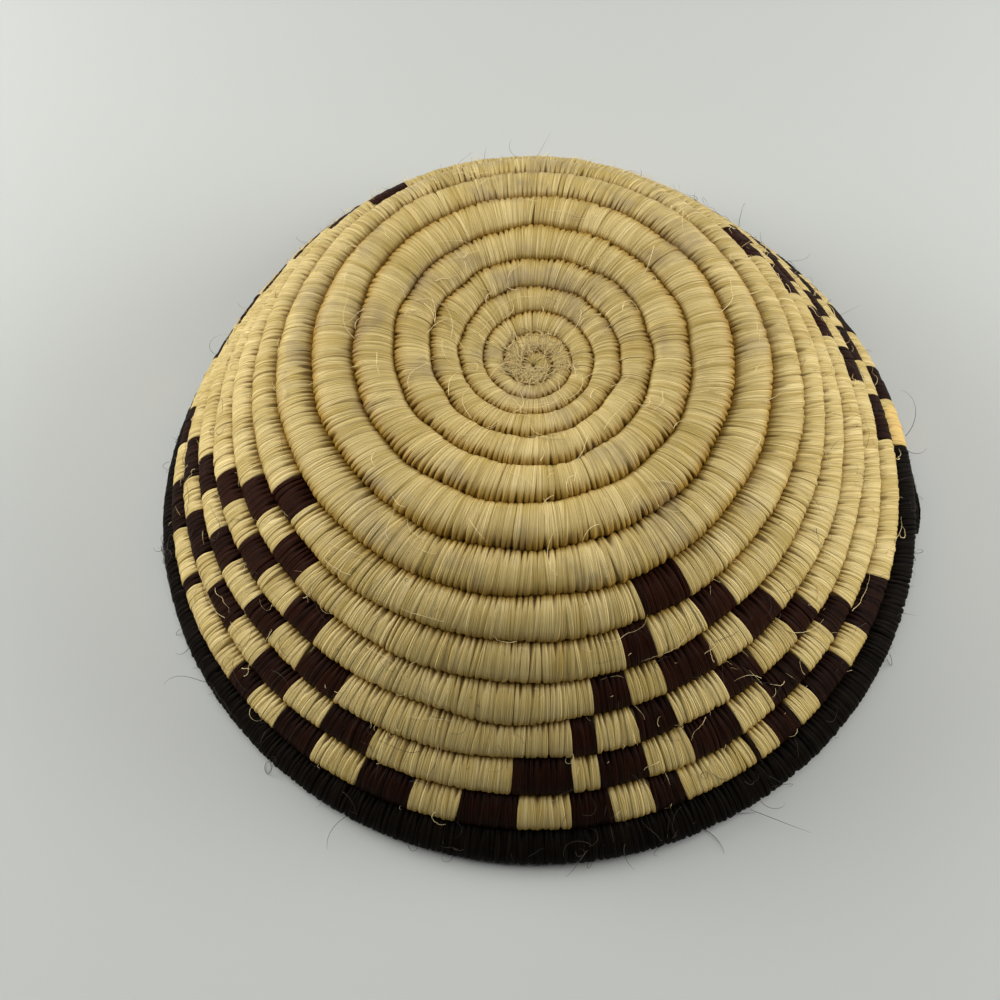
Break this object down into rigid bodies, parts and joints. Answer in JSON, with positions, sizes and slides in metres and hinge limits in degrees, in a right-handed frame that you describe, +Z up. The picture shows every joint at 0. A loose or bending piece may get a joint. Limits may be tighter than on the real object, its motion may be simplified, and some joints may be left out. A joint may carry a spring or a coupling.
{
  "type": "woven basket bowl",
  "caption": "Round coiled basket bowl with a broad base and steep sides, wrapped in raffia with stepped dark patterns and a dark rim.",
  "frame": {"origin": "centre of the rim circle, on the ground that the rim rests on", "axes": "+Z up through the base: the bowl stands on its rim with its base up; -Y is the side nearest the camera; the rim's dark wrap ends on the +X side"},
  "size_m": [0.2888, 0.2912, 0.0979],
  "materials": {
    "natural_raffia": "dry straw-coloured raffia strands with a slight sheen",
    "dark_raffia": "dyed brown-black raffia strands, dry and fibrous",
    "foundation_grass": "bundle of dry grass stems, hidden by the wraps"
  },
  "bodies": {
    "root": {"start_knot": "natural_raffia", "start_tip": "natural_raffia", "wrap_turn_01": "natural_raffia", "wrap_turn_02": "natural_raffia", "wrap_turn_03": "natural_raffia", "wrap_turn_04": "natural_raffia", "wrap_turn_05": "natural_raffia", "wrap_turn_06": "natural_raffia", "wrap_turn_07": "natural_raffia", "wrap_turn_08": "natural_raffia", "wrap_turn_09": "natural_raffia", "wrap_turn_10": "natural_raffia", "wrap_turn_11": "natural_raffia", "wrap_turn_12": "natural_raffia", "wrap_turn_13": "natural_raffia", "rim_wrap": "dark_raffia", "rim_tail": "dark_raffia", "foundation_core": "foundation_grass"}
  },
  "joints": []
}
